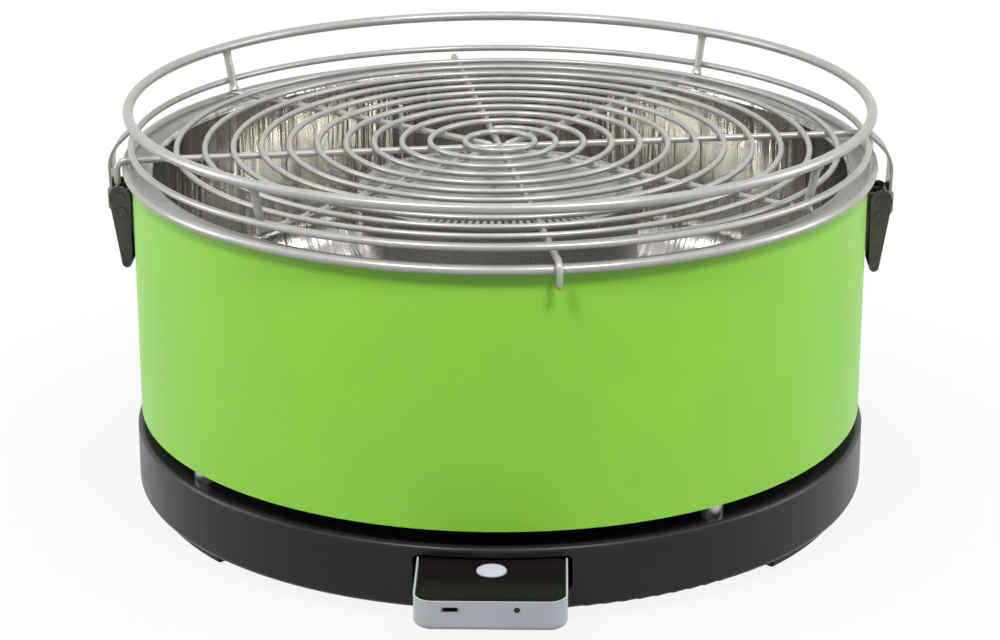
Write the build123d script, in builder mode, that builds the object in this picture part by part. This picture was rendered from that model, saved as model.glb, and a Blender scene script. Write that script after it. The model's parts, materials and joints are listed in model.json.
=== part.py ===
"""Table-top charcoal grill: fan-blown base, painted drum, steel bowl, clipped wire grate and power pack.

The origin is the point on the table under the middle of the drum. Z is up and the power pack faces -Y.
All lengths are millimetres and all angles are degrees.
"""
import os
from math import acos, asin, atan2, cos, degrees, hypot, radians, sin, tan

from build123d import *

os.makedirs("parts", exist_ok=True)

# Clearances shared by the pieces that fit together
running_gap = 0.05        # pin or shaft in its bore, radial
screw_gap = 0.2           # screw or rivet in a hole that it passes through, radial
seat_gap = 0.3            # moving piece above or beside its seat
drop_gap = 0.3            # plate inside a wall that it drops into
weld_sink = 0.3           # how far two welded wires press into each other

# Feet
foot_height = 6.0
foot_inset = 6.0          # outer face of the feet inside the base wall
foot_width = 14.0
foot_span = 23.0
foot_edge = 1.5
foot_angles = (-30, 90, 210)

# Base tray and the deck that closes it
base_overhang = 2.0       # base wall outside the drum
base_height = 28.5
base_wall = 3.0
base_floor = 2.5
lip_round = 2.0
bottom_round = 3.0
deck_drop = 3.5           # deck underside below the lip
deck_sheet = 2.0
ledge_width = 4.0
ledge_depth = 1.5
inlet_radius = 28.0       # circle through the middles of the air inlets
inlet_count = 12
inlet_length = 20.0
inlet_width = 5.0
deck_screw_inset = 34.0   # deck screws inward of the base wall
deck_screw_radius = 1.5
deck_screw_length = 12.0
boss_radius = 5.0

# Drum and what stands it off the base
drum_radius = 165.0
drum_height = 111.8
drum_sheet = 1.0
drum_flange = 15.0
drum_gap = 8.2            # deck top to drum underside
spacer_radius = 5.0
spacer_inset = 9.0        # spacers inward of the drum's outside
spacer_turn = 36.0        # from the right side round to the first spacer
stud_radius = 1.5
stud_head_radius = 3.0
stud_head_height = 2.0
stud_spare = 2.0          # thread above the nut
nut_radius = 3.2
nut_height = 2.4

# Air tube and fan
tube_step = 1.0           # tube bore beyond the deck hole
tube_wall = 1.0
tube_flange = 8.0
deck_hole = 42.0
fan_wall = 3.5
fan_depth = 20.0
fan_gap = 2.0             # blade tip to fan frame
fan_lug_out = 2.1         # fan screws outside the fan frame
fan_screw_radius = 1.2
fan_screw_length = 10.0
lug_radius = 3.0
strut_count = 4
strut_width = 4.0
strut_height = 2.0
motor_radius = 13.0
motor_height = 9.0
shaft_radius = 1.5
hub_radius = 16.0
hub_wall = 1.8
hub_height = 12.0
hub_boss = 4.0
blade_count = 7
blade_chord = 13.0
blade_sheet = 1.4
blade_pitch = 35.0

# Bowl
bowl_gap = 9.5            # middle of the bowl's wall inside the drum's outside
bowl_sheet = 1.0
bowl_lift = 20.8          # drum underside to bowl floor underside
bowl_bend = 25.0
rim_bend = 3.0
bead_wire = 2.0
bead_gap = 0.2            # bead to the drum's outside
bead_rise = 1.0           # bead centre above the middle of the flange
collar_inset = 6.5        # collar inside the air tube's bore
collar_height = 8.0
collar_bend = 3.0

# Charcoal basket
basket_radius = 63.0
basket_height = 75.0
basket_sheet = 1.0
grid_height = 21.0        # basket foot to grid underside
grid_sheet = 1.5
grid_ledge = 3.0
grid_hole = 3.0
grid_ring_step = 11.5
grid_ring_count = 4
slot_count = 30
slot_breadth = 4.0
upper_slot_height = 40.0
lower_slot_height = 10.0
slot_margin = 6.0
tray_outer = 50.0
tray_inner = 30.0
tray_height = 8.0
tray_sheet = 1.0
lid_overhang = 1.5
lid_sheet = 1.0
lid_dome = 4.2
lid_flat = 6.5
lid_skirt = 4.5

# Wire grate
grate_turn = 9.0
spoke_step = 45.0         # from one spoke to the next
rod_wire = 1.5
spiral_wire = 1.3
ring_wire = 1.5
guard_wire = 2.25
post_wire = 1.8
spiral_start = 22.0
spiral_pitch = 12.6
spiral_overhang = 1.0
centre_ring_radius = 15.7
ring_inset = 0.2          # outer ring inside the drum's outside
ring_lift = 5.0           # spokes to outer ring, centre to centre
guard_flare = 0.8         # guard ring outside the outer ring
guard_rise = 16.3         # outer ring to guard ring, centre to centre
rod_overhang = 1.0        # diagonal spokes beyond the posts
hook_bend = 4.2
hook_gap = 0.7
hook_length = 6.5

# Latches at both sides
latch_angles = (("right", 0), ("left", 180))
latch_pin = 1.5
pin_head = 2.4
pin_head_height = 0.7
pivot_out = 6.6           # pivot pin outside the drum wall
pivot_drop = 17.0         # pivot pin below the drum's top edge
hook_pin_in = 0.7         # strap pin inward of the pivot pin
hook_pin_drop = 7.0       # strap pin below the pivot pin
bracket_sheet = 1.5
bracket_half = 6.0
bracket_height = 28.0
bracket_over = 4.0        # plate above the pivot pin
bracket_gap = 0.05
ear_head = 3.0
rivet_radius = 1.5
rivet_head = 2.5
rivet_head_height = 1.0
rivet_low = 4.0
rivet_step = 8.0
plate_gap = 0.3           # sideways gap between the nested latch plates
arm_sheet = 1.2
cheek_sheet = 1.2
lever_head = 4.9
lever_tip = 2.2
lever_length = 31.0       # pivot pin to the centre of the tip
lever_lean = 2.1          # tip centre inward of the pivot pin
grip_height = 9.5
strap_sheet = 1.2
strap_boss = 2.6
strap_arm = 1.6
strap_knee_out = 3.8      # arm centre outward of the pivot pin
strap_knee_drop = 4.5
strap_band_rise = 3.0
strap_bulge_out = 4.4
strap_bulge_rise = 20.0
strap_bulge_bend = 16.0
strap_tip_angle = 60.0    # where the strap ends on the outer ring, from level

# Power pack
pack_width = 62.0
pack_height = 13.0
pack_length = 105.0
pack_reach = 40.0         # pack front beyond the base wall
pack_lift = 7.8           # pack underside above the tray floor
pack_wall = 1.6
pack_rim = 0.7            # edge of the tray that shows round the cover
pack_corner = 8.0
pack_round = 2.5          # rounding round the pack's underside
cover_sheet = 1.5
slot_side = 2.0
slot_rise = 1.2
slot_corner = 2.5
rail_place = 24.0
rail_width = 3.0
rail_end_gap = 4.0
button_radius = 6.2
button_back = 30.0        # button centre behind the pack's front
button_proud = 0.5
button_travel = 0.8
button_flange = 1.2
button_flange_sheet = 0.5
switch_width = 6.0
switch_height = 1.5
board_sheet = 1.0
board_length = 38.0
board_width = 48.0
port_width = 7.4
port_height = 2.6
port_depth = 5.0
port_sheet = 0.3
port_corner = 1.1
port_place = -16.0
led_radius = 1.1
led_length = 4.0
led_place = 10.7
cell_width = 44.0
cell_length = 50.0
cell_height = 9.0
contact_width = 6.0
contact_height = 6.0
contact_place = 8.0
contact_proud = 0.3
block_width = 28.0
block_depth = 5.0
block_height = 17.0
spring_radius = 1.0
pack_screw_radius = 1.0
pack_screw_length = 7.0
pack_screw_head = 1.9
pack_screw_head_height = 0.7
pack_boss = 2.6
pack_boss_inset = 6.5

# Radii worked out from the sizes above
base_radius = drum_radius + base_overhang
base_inner = base_radius - base_wall
ledge_inner = base_inner - ledge_width
foot_outer = base_radius - foot_inset
deck_screw_circle = base_inner - deck_screw_inset
spacer_circle = drum_radius - spacer_inset
tube_radius = deck_hole + tube_step
fan_inner = deck_hole
fan_outer = fan_inner + fan_wall
fan_screw_circle = fan_outer + fan_lug_out
bowl_radius = drum_radius - bowl_gap
bead_radius = drum_radius + bead_gap + bead_wire
collar_radius = tube_radius - collar_inset
outer_ring_radius = drum_radius - ring_inset
guard_radius = outer_ring_radius + guard_flare

# Heights worked out from the sizes above
base_bottom = foot_height
base_top = base_bottom + base_height
floor_top = base_bottom + base_floor
deck_bottom = base_top - deck_drop
deck_top = deck_bottom + deck_sheet
drum_bottom = deck_top + drum_gap
drum_top = drum_bottom + drum_height
drum_floor_top = drum_bottom + 2 * drum_sheet
bowl_bottom = drum_bottom + bowl_lift
bowl_top = bowl_bottom + bowl_sheet
flange_middle = drum_top + bowl_sheet / 2
bead_middle = flange_middle + bead_rise
collar_top = bowl_top + collar_height
basket_top = bowl_top + basket_height
grid_bottom = bowl_top + grid_height
rod_middle = bead_middle + bead_wire + seat_gap + rod_wire
spiral_middle = rod_middle + rod_wire + spiral_wire - weld_sink
ring_middle = rod_middle + ring_lift
guard_middle = ring_middle + guard_rise


def radial_plane(angle):
    """Return the upright plane through the middle axis whose x runs outward at this angle and y runs up."""
    turn = radians(angle)
    return Plane(origin=(0, 0, 0), x_dir=(cos(turn), sin(turn), 0), z_dir=(sin(turn), -cos(turn), 0))


# Rubber feet: three arcs under the base
with BuildPart() as rubber_feet:
    for middle in foot_angles:
        with BuildSketch(radial_plane(middle - foot_span / 2)) as foot_profile:
            with Locations((foot_outer - foot_width / 2, foot_height / 2)):
                Rectangle(foot_width, foot_height)
            fillet(foot_profile.vertices().group_by(Axis.Z)[0], foot_edge)
        revolve(axis=Axis.Z, revolution_arc=foot_span)
rubber_feet.part.label = "rubber_feet"
export_step(rubber_feet.part, "parts/rubber_feet.step")

# Base tray: floor, wall, deck ledge, air inlets, pack slot and rails
pack_front = -(base_radius + pack_reach)
pack_rear = pack_front + pack_length
pack_bottom = floor_top + pack_lift
pack_top = pack_bottom + pack_height
rail_front = -(ledge_inner - rail_end_gap)
rail_rear = pack_rear - rail_end_gap
deck_screw_hole = deck_screw_radius + screw_gap / 2

with BuildPart() as base_tray:
    with BuildSketch(Plane.XZ):
        with BuildLine():
            Polyline(
                (0, base_bottom),
                (base_radius, base_bottom),
                (base_radius, base_top),
                (base_inner, base_top),
                (base_inner, deck_bottom),
                (ledge_inner, deck_bottom),
                (ledge_inner, deck_bottom - ledge_depth),
                (base_inner, deck_bottom - ledge_depth - ledge_width),
                (base_inner, floor_top),
                (0, floor_top),
                close=True,
            )
        make_face()
    revolve(axis=Axis.Z)
    rims = base_tray.edges().filter_by(GeomType.CIRCLE).group_by(Axis.Z)
    fillet(rims[-1].sort_by(SortBy.RADIUS)[-1], lip_round)
    fillet(base_tray.edges().filter_by(GeomType.CIRCLE).group_by(Axis.Z)[0], bottom_round)
    with BuildSketch(Plane.XY.offset(floor_top)):
        with PolarLocations(deck_screw_circle, 4, start_angle=45):
            Circle(boss_radius)
    extrude(amount=deck_bottom - floor_top)
    with BuildSketch(Plane.XY.offset(deck_bottom)):
        with PolarLocations(deck_screw_circle, 4, start_angle=45):
            Circle(deck_screw_hole)
    extrude(amount=-deck_screw_length, mode=Mode.SUBTRACT)
    with BuildSketch(Plane.XY.offset(base_bottom)):
        with PolarLocations(inlet_radius, inlet_count):
            SlotOverall(inlet_length, inlet_width)
    extrude(amount=base_floor, mode=Mode.SUBTRACT)
    with BuildSketch(Plane.XY.offset(floor_top)):
        with Locations((rail_place, (rail_front + rail_rear) / 2), (-rail_place, (rail_front + rail_rear) / 2)):
            Rectangle(rail_width, rail_rear - rail_front)
    extrude(amount=pack_lift - seat_gap)
    with BuildSketch(Plane.XZ.offset(base_radius + base_wall)):
        with Locations((0, (pack_bottom + pack_top) / 2)):
            RectangleRounded(pack_width + 2 * slot_side, pack_height + 2 * slot_rise, slot_corner)
    extrude(amount=-(base_radius + base_wall + rail_front), mode=Mode.SUBTRACT)
base_tray.part.label = "base_tray"
export_step(base_tray.part, "parts/base_tray.step")

# Base deck: the lid of the base, which carries the drum and the fan
stud_hole = stud_radius + screw_gap
fan_screw_hole = fan_screw_radius + screw_gap

with BuildPart() as base_deck:
    with BuildSketch(Plane.XY.offset(deck_bottom)):
        Circle(base_inner - drop_gap)
        Circle(deck_hole, mode=Mode.SUBTRACT)
        with PolarLocations(deck_screw_circle, 4, start_angle=45):
            Circle(deck_screw_radius + screw_gap, mode=Mode.SUBTRACT)
        with PolarLocations(spacer_circle, 4, start_angle=spacer_turn):
            Circle(stud_hole, mode=Mode.SUBTRACT)
        with PolarLocations(fan_screw_circle, 4):
            Circle(fan_screw_hole, mode=Mode.SUBTRACT)
    extrude(amount=deck_sheet)
base_deck.part.label = "base_deck"
export_step(base_deck.part, "parts/base_deck.step")

with BuildPart() as deck_screws:
    with BuildSketch(Plane.XY.offset(deck_top)):
        with PolarLocations(deck_screw_circle, 4, start_angle=45):
            Circle(2 * deck_screw_radius)
    extrude(amount=deck_screw_radius)
    with BuildSketch(Plane.XY.offset(deck_top)):
        with PolarLocations(deck_screw_circle, 4, start_angle=45):
            Circle(deck_screw_radius)
    extrude(amount=-deck_screw_length)
deck_screws.part.label = "deck_screws"
export_step(deck_screws.part, "parts/deck_screws.step")

# Spacers, studs and nuts that hold the drum above the base
with BuildPart() as drum_spacers:
    with BuildSketch(Plane.XY.offset(deck_top)):
        with PolarLocations(spacer_circle, 4, start_angle=spacer_turn):
            Circle(spacer_radius)
            Circle(stud_hole, mode=Mode.SUBTRACT)
    extrude(amount=drum_gap)
drum_spacers.part.label = "drum_spacers"
export_step(drum_spacers.part, "parts/drum_spacers.step")

with BuildPart() as drum_studs:
    with BuildSketch(Plane.XY.offset(deck_bottom)):
        with PolarLocations(spacer_circle, 4, start_angle=spacer_turn):
            Circle(stud_head_radius)
    extrude(amount=-stud_head_height)
    with BuildSketch(Plane.XY.offset(deck_bottom)):
        with PolarLocations(spacer_circle, 4, start_angle=spacer_turn):
            Circle(stud_radius)
    extrude(amount=drum_floor_top + nut_height + stud_spare - deck_bottom)
drum_studs.part.label = "drum_studs"
export_step(drum_studs.part, "parts/drum_studs.step")

with BuildPart() as drum_nuts:
    with BuildSketch(Plane.XY.offset(drum_floor_top)):
        with PolarLocations(spacer_circle, 4, start_angle=spacer_turn):
            RegularPolygon(nut_radius, 6)
            Circle(stud_radius + running_gap, mode=Mode.SUBTRACT)
    extrude(amount=nut_height)
drum_nuts.part.label = "drum_nuts"
export_step(drum_nuts.part, "parts/drum_nuts.step")

# Drum: painted sheet with an in-turned flange at the bottom and rivet holes for the latches
drum_inner = drum_radius - drum_sheet
pivot_height = drum_top - pivot_drop
bracket_top = pivot_height + bracket_over
bracket_bottom = bracket_top - bracket_height
rivet_heights = (bracket_bottom + rivet_low, bracket_bottom + rivet_low + rivet_step)
rivet_hole = rivet_radius + screw_gap

with BuildPart() as drum:
    with BuildSketch(Plane.XZ):
        with BuildLine():
            Polyline(
                (drum_radius, drum_bottom),
                (drum_radius, drum_top),
                (drum_inner, drum_top),
                (drum_inner, drum_bottom + drum_sheet),
                (drum_radius - drum_flange, drum_bottom + drum_sheet),
                (drum_radius - drum_flange, drum_bottom),
                close=True,
            )
        make_face()
    revolve(axis=Axis.Z)
    with BuildSketch(Plane.XY.offset(drum_bottom)):
        with PolarLocations(spacer_circle, 4, start_angle=spacer_turn):
            Circle(stud_hole)
    extrude(amount=drum_sheet, mode=Mode.SUBTRACT)
    with BuildSketch(Plane.YZ):
        with Locations(*[(0, height) for height in rivet_heights]):
            Circle(rivet_hole)
    extrude(amount=2 * drum_radius, both=True, mode=Mode.SUBTRACT)
drum.part.label = "drum"
export_step(drum.part, "parts/drum.step")

with BuildPart() as drum_floor:
    with BuildSketch(Plane.XY.offset(drum_bottom + drum_sheet)):
        Circle(drum_inner - drop_gap)
        Circle(tube_radius + tube_wall + tube_flange + drop_gap, mode=Mode.SUBTRACT)
        with PolarLocations(spacer_circle, 4, start_angle=spacer_turn):
            Circle(stud_hole, mode=Mode.SUBTRACT)
    extrude(amount=drum_sheet)
drum_floor.part.label = "drum_floor"
export_step(drum_floor.part, "parts/drum_floor.step")

# Air tube from the fan to the bowl's collar
tube_outer = tube_radius + tube_wall
flange_outer = tube_outer + tube_flange

with BuildPart() as air_tube:
    with BuildSketch(Plane.XZ):
        with BuildLine():
            Polyline(
                (tube_radius, deck_top),
                (flange_outer, deck_top),
                (flange_outer, deck_top + tube_wall),
                (tube_outer, deck_top + tube_wall),
                (tube_outer, bowl_bottom - seat_gap),
                (tube_radius, bowl_bottom - seat_gap),
                close=True,
            )
        make_face()
    revolve(axis=Axis.Z)
    with BuildSketch(Plane.XY.offset(deck_top)):
        with PolarLocations(fan_screw_circle, 4):
            Circle(fan_screw_hole)
    extrude(amount=tube_wall, mode=Mode.SUBTRACT)
air_tube.part.label = "air_tube"
export_step(air_tube.part, "parts/air_tube.step")

# Fan: frame under the deck, motor on its struts, impeller on the shaft
fan_bottom = deck_bottom - fan_depth
motor_bottom = fan_bottom + strut_height
motor_top = motor_bottom + motor_height
hub_top = motor_bottom + strut_height + hub_height
hub_bottom = hub_top - hub_height

with BuildPart() as fan_frame:
    with BuildSketch(Plane.XY.offset(fan_bottom)):
        Circle(fan_outer)
        with PolarLocations(fan_screw_circle, 4):
            Circle(lug_radius)
        Circle(fan_inner, mode=Mode.SUBTRACT)
    extrude(amount=fan_depth)
    with BuildSketch(Plane.XY.offset(fan_bottom)):
        Circle(motor_radius)
        with PolarLocations((fan_inner + fan_wall / 2) / 2, strut_count, start_angle=45):
            Rectangle(fan_inner + fan_wall / 2, strut_width)
    extrude(amount=strut_height)
    with BuildSketch(Plane.XY.offset(deck_bottom)):
        with PolarLocations(fan_screw_circle, 4):
            Circle(fan_screw_radius + screw_gap / 2)
    extrude(amount=-fan_screw_length, mode=Mode.SUBTRACT)
fan_frame.part.label = "fan_frame"
export_step(fan_frame.part, "parts/fan_frame.step")

with BuildPart() as fan_screws:
    with BuildSketch(Plane.XY.offset(deck_top + tube_wall)):
        with PolarLocations(fan_screw_circle, 4):
            Circle(2 * fan_screw_radius)
    extrude(amount=fan_screw_radius)
    with BuildSketch(Plane.XY.offset(deck_top + tube_wall)):
        with PolarLocations(fan_screw_circle, 4):
            Circle(fan_screw_radius)
    extrude(amount=-fan_screw_length)
fan_screws.part.label = "fan_screws"
export_step(fan_screws.part, "parts/fan_screws.step")

with BuildPart() as fan_motor:
    with BuildSketch(Plane.XY.offset(motor_bottom)):
        Circle(motor_radius)
    extrude(amount=motor_height)
    with BuildSketch(Plane.XY.offset(motor_top)):
        Circle(shaft_radius + running_gap)
    extrude(amount=-(motor_height - strut_height), mode=Mode.SUBTRACT)
fan_motor.part.label = "fan_motor"
export_step(fan_motor.part, "parts/fan_motor.step")

with BuildPart() as fan_shaft:
    with BuildSketch(Plane.XY.offset(motor_bottom + strut_height + seat_gap)):
        Circle(shaft_radius)
    extrude(amount=hub_top - motor_bottom - strut_height - seat_gap)
fan_shaft.part.label = "fan_shaft"
export_step(fan_shaft.part, "parts/fan_shaft.step")

blade_root = hub_radius - hub_wall / 2
blade_tip = fan_inner - fan_gap
hub_boss_drop = (hub_top - motor_top) - hub_wall - seat_gap

with BuildPart(Plane.XY.offset((hub_top + hub_bottom) / 2)) as fan_impeller:
    with PolarLocations((blade_root + blade_tip) / 2, blade_count):
        Box(blade_tip - blade_root, blade_chord, blade_sheet, rotation=(blade_pitch, 0, 0))
    with BuildSketch(Plane.XY.offset(hub_bottom)):
        Circle(hub_radius)
        Circle(hub_radius - hub_wall, mode=Mode.SUBTRACT)
    extrude(amount=hub_height)
    with BuildSketch(Plane.XY.offset(hub_top)):
        Circle(hub_radius)
    extrude(amount=-hub_wall)
    with BuildSketch(Plane.XY.offset(hub_top - hub_wall)):
        Circle(hub_boss)
    extrude(amount=-hub_boss_drop)
    with BuildSketch(Plane.XY.offset(hub_top)):
        Circle(shaft_radius + running_gap)
    extrude(amount=-hub_height, mode=Mode.SUBTRACT)
fan_impeller.part.label = "fan_impeller"
export_step(fan_impeller.part, "parts/fan_impeller.step")

# Bowl: one steel sheet from the air collar out to the rolled rim that hangs on the drum
floor_middle = bowl_bottom + bowl_sheet / 2

with BuildPart() as bowl:
    with BuildSketch(Plane.XZ):
        with BuildLine():
            FilletPolyline(
                (collar_radius, collar_top),
                (collar_radius, floor_middle),
                (bowl_radius, floor_middle),
                (bowl_radius, flange_middle),
                (bead_radius, flange_middle),
                radius=(collar_bend, bowl_bend, rim_bend),
            )
        trace(line_width=bowl_sheet)
        with Locations((bead_radius, bead_middle)):
            Circle(bead_wire)
    revolve(axis=Axis.Z)
bowl.part.label = "bowl"
export_step(bowl.part, "parts/bowl.step")

# Charcoal basket: slotted shell, fire grid, lighting tray and lid
basket_inner = basket_radius - basket_sheet
upper_slot_bottom = grid_bottom + grid_sheet + slot_margin
lower_slot_bottom = bowl_top + slot_margin

with BuildPart() as basket_shell:
    with BuildSketch(Plane.XZ):
        with BuildLine():
            Polyline(
                (basket_radius, bowl_top),
                (basket_radius, basket_top),
                (basket_inner, basket_top),
                (basket_inner, grid_bottom),
                (basket_inner - grid_ledge, grid_bottom),
                (basket_inner - grid_ledge, grid_bottom - basket_sheet),
                (basket_inner, grid_bottom - basket_sheet),
                (basket_inner, bowl_top),
                close=True,
            )
        make_face()
    revolve(axis=Axis.Z)
    with PolarLocations(basket_radius, slot_count):
        for slot_bottom, slot_height in (
            (upper_slot_bottom, upper_slot_height),
            (lower_slot_bottom, lower_slot_height),
        ):
            with Locations((0, 0, slot_bottom)):
                Box(
                    4 * basket_sheet,
                    slot_breadth,
                    slot_height,
                    align=(Align.CENTER, Align.CENTER, Align.MIN),
                    mode=Mode.SUBTRACT,
                )
basket_shell.part.label = "basket_shell"
export_step(basket_shell.part, "parts/basket_shell.step")

with BuildPart() as basket_grid:
    with BuildSketch(Plane.XY.offset(grid_bottom)):
        Circle(basket_inner - drop_gap)
        Circle(grid_hole, mode=Mode.SUBTRACT)
        for ring in range(1, grid_ring_count + 1):
            with PolarLocations(ring * grid_ring_step, 6 * ring):
                Circle(grid_hole, mode=Mode.SUBTRACT)
    extrude(amount=grid_sheet)
basket_grid.part.label = "basket_grid"
export_step(basket_grid.part, "parts/basket_grid.step")

with BuildPart() as ignition_tray:
    with BuildSketch(Plane.XZ):
        with BuildLine():
            Polyline(
                (tray_inner, collar_top),
                (tray_outer, collar_top),
                (tray_outer, collar_top + tray_height),
                (tray_outer - tray_sheet, collar_top + tray_height),
                (tray_outer - tray_sheet, collar_top + tray_sheet),
                (tray_inner + tray_sheet, collar_top + tray_sheet),
                (tray_inner + tray_sheet, collar_top + tray_height),
                (tray_inner, collar_top + tray_height),
                close=True,
            )
        make_face()
    revolve(axis=Axis.Z)
ignition_tray.part.label = "ignition_tray"
export_step(ignition_tray.part, "parts/ignition_tray.step")

lid_bottom = basket_top + seat_gap
lid_rim = lid_bottom + lid_sheet
lid_radius = basket_radius + lid_overhang
skirt_outer = basket_inner - drop_gap
dome_radius = lid_radius - lid_flat

with BuildPart() as basket_lid:
    with BuildSketch(Plane.XZ):
        with BuildLine():
            TangentArc((0, lid_rim + lid_dome), (dome_radius, lid_rim), tangent=(1, 0))
            Polyline(
                (dome_radius, lid_rim),
                (lid_radius, lid_rim),
                (lid_radius, lid_bottom),
                (skirt_outer, lid_bottom),
                (skirt_outer, lid_bottom - lid_skirt),
                (skirt_outer - lid_sheet, lid_bottom - lid_skirt),
                (skirt_outer - lid_sheet, lid_bottom),
                (dome_radius, lid_bottom),
            )
            TangentArc((0, lid_bottom + lid_dome), (dome_radius, lid_bottom), tangent=(1, 0))
            Line((0, lid_bottom + lid_dome), (0, lid_rim + lid_dome))
        make_face()
    revolve(axis=Axis.Z)
basket_lid.part.label = "basket_lid"
export_step(basket_lid.part, "parts/basket_lid.step")

# Posts of the guard ring: they lean outward from the diagonal spokes, past the inside of the outer ring
post_side = ring_wire + post_wire - weld_sink
post_tilt = atan2(guard_flare, guard_rise) + asin(post_side / hypot(guard_flare, guard_rise))
post_bottom = rod_middle + rod_wire - weld_sink
post_foot_radius = guard_radius - (guard_middle - post_bottom) * tan(post_tilt)
post_length = (guard_middle - post_bottom) / cos(post_tilt) - guard_wire + weld_sink

with BuildPart() as guard_posts:
    for post in range(4):
        outward = radial_plane(grate_turn + spoke_step + 2 * spoke_step * post).x_dir
        foot = outward * post_foot_radius + Vector(0, 0, post_bottom)
        along = outward * sin(post_tilt) + Vector(0, 0, cos(post_tilt))
        with BuildSketch(Plane(origin=foot, z_dir=along)):
            Circle(post_wire)
        extrude(amount=post_length)
guard_posts.part.label = "guard_posts"
export_step(guard_posts.part, "parts/guard_posts.step")

# Grate spokes: two crossed rods, and four short diagonal rods that carry the posts
hook_radius = bead_radius + bead_wire + hook_gap + rod_wire
hook_start = hook_radius - hook_bend
hook_bottom = rod_middle - hook_bend - hook_length
spoke_start = (2 * rod_wire + seat_gap) / sin(radians(spoke_step))

with BuildPart() as grate_spokes:
    for rod in range(2):
        outward = radial_plane(grate_turn + 2 * spoke_step * rod).x_dir
        start = outward * -hook_start + Vector(0, 0, rod_middle)
        with BuildSketch(Plane(origin=start, z_dir=outward)):
            Circle(rod_wire)
        extrude(amount=2 * hook_start)
    for spoke in range(4):
        outward = radial_plane(grate_turn + spoke_step + 2 * spoke_step * spoke).x_dir
        start = outward * spoke_start + Vector(0, 0, rod_middle)
        with BuildSketch(Plane(origin=start, z_dir=outward)):
            Circle(rod_wire)
        extrude(amount=post_foot_radius + post_wire + rod_overhang - spoke_start)
grate_spokes.part.label = "grate_spokes"
export_step(grate_spokes.part, "parts/grate_spokes.step")

# Grate hooks: the ends of the crossed rods, bent down over the bowl's bead
with BuildPart() as grate_hooks:
    for end in range(4):
        with BuildLine(radial_plane(grate_turn + 2 * spoke_step * end)) as hook:
            CenterArc((hook_start, rod_middle - hook_bend), hook_bend, 90, -90)
            Line((hook_radius, rod_middle - hook_bend), (hook_radius, hook_bottom))
        with BuildSketch(Plane(origin=hook.line @ 0, z_dir=hook.line % 0)):
            Circle(rod_wire)
        sweep(path=hook.line)
grate_hooks.part.label = "grate_hooks"
export_step(grate_hooks.part, "parts/grate_hooks.step")

# Grate rings: one on the spokes' middle, and the outer ring and the guard ring on the posts
with BuildPart(Plane.XY.offset(spiral_middle)) as grate_centre_ring:
    Torus(centre_ring_radius, spiral_wire)
grate_centre_ring.part.label = "grate_centre_ring"
export_step(grate_centre_ring.part, "parts/grate_centre_ring.step")

with BuildPart(Plane.XY.offset(ring_middle)) as grate_outer_ring:
    Torus(outer_ring_radius, ring_wire)
grate_outer_ring.part.label = "grate_outer_ring"
export_step(grate_outer_ring.part, "parts/grate_outer_ring.step")

with BuildPart(Plane.XY.offset(guard_middle)) as guard_ring:
    Torus(guard_radius, guard_wire)
guard_ring.part.label = "guard_ring"
export_step(guard_ring.part, "parts/guard_ring.step")

# Grate spiral: one wire of half-turn arcs that grows clockwise from the back spoke to the front left one
half_step = spiral_pitch / 2
centre_shift = spiral_pitch / 4
end_shift = centre_shift * cos(radians(spoke_step))
post_inside = post_foot_radius - post_wire / cos(post_tilt)
spiral_room = post_inside - seat_gap - spiral_wire - end_shift - half_step - spiral_start
spiral_half_turns = 2 * int(spiral_room / spiral_pitch)
grate_plane = Plane(
    origin=(0, 0, spiral_middle),
    x_dir=radial_plane(grate_turn).x_dir,
    z_dir=(0, 0, 1),
)
first_angle = 90 + degrees(asin(centre_shift / spiral_start))
last_radius = spiral_start + (spiral_half_turns + 1) * half_step
last_sweep = 180 - spoke_step + degrees(spiral_overhang / last_radius)

with BuildPart() as grate_spiral:
    with BuildLine(grate_plane) as spiral:
        CenterArc((centre_shift, 0), spiral_start, first_angle, -first_angle)
        for half_turn in range(1, spiral_half_turns + 2):
            lower = half_turn % 2 == 1
            CenterArc(
                (-centre_shift if lower else centre_shift, 0),
                spiral_start + half_turn * half_step,
                0 if lower else 180,
                -180 if half_turn <= spiral_half_turns else -last_sweep,
            )
    with BuildSketch(Plane(origin=spiral.line @ 0, z_dir=spiral.line % 0)):
        Circle(spiral_wire)
    sweep(path=spiral.line)
grate_spiral.part.label = "grate_spiral"
export_step(grate_spiral.part, "parts/grate_spiral.step")
print("least gap between the spiral's turns", round(spiral_pitch - 2 * spiral_wire, 2))

# Latches: a riveted bracket, a lever on its pivot pin, and a strap that holds the grate's outer ring
pivot_radius = drum_radius + pivot_out
hook_pin_radius = pivot_radius - hook_pin_in
hook_pin_height = pivot_height - hook_pin_drop
pin_hole = latch_pin + running_gap
plate_inner = drum_radius + bracket_gap
plate_outer = plate_inner + bracket_sheet
ear_inside = bracket_half - bracket_sheet
arm_inside = bracket_half + plate_gap
arm_outside = arm_inside + arm_sheet
cheek_inside = arm_outside + plate_gap
cheek_outside = cheek_inside + cheek_sheet
pin_half = cheek_outside + pin_head_height
tip_radius = pivot_radius - lever_lean
tip_height = pivot_height - lever_length
grip_top = tip_height + grip_height
knee_radius = pivot_radius + strap_knee_out
knee_height = pivot_height - strap_knee_drop
bulge_radius = pivot_radius + strap_bulge_out
bulge_height = pivot_height + strap_bulge_rise
hook_arc = ring_wire + seat_gap + strap_sheet / 2
bulge_reach = hypot(bulge_radius - outer_ring_radius, bulge_height - ring_middle)
bulge_angle = degrees(atan2(bulge_height - ring_middle, bulge_radius - outer_ring_radius))
touch_angle = bulge_angle + degrees(acos(hook_arc / bulge_reach))
touch_point = (
    outer_ring_radius + hook_arc * cos(radians(touch_angle)),
    ring_middle + hook_arc * sin(radians(touch_angle)),
)
band_height = pivot_height + strap_band_rise

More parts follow.
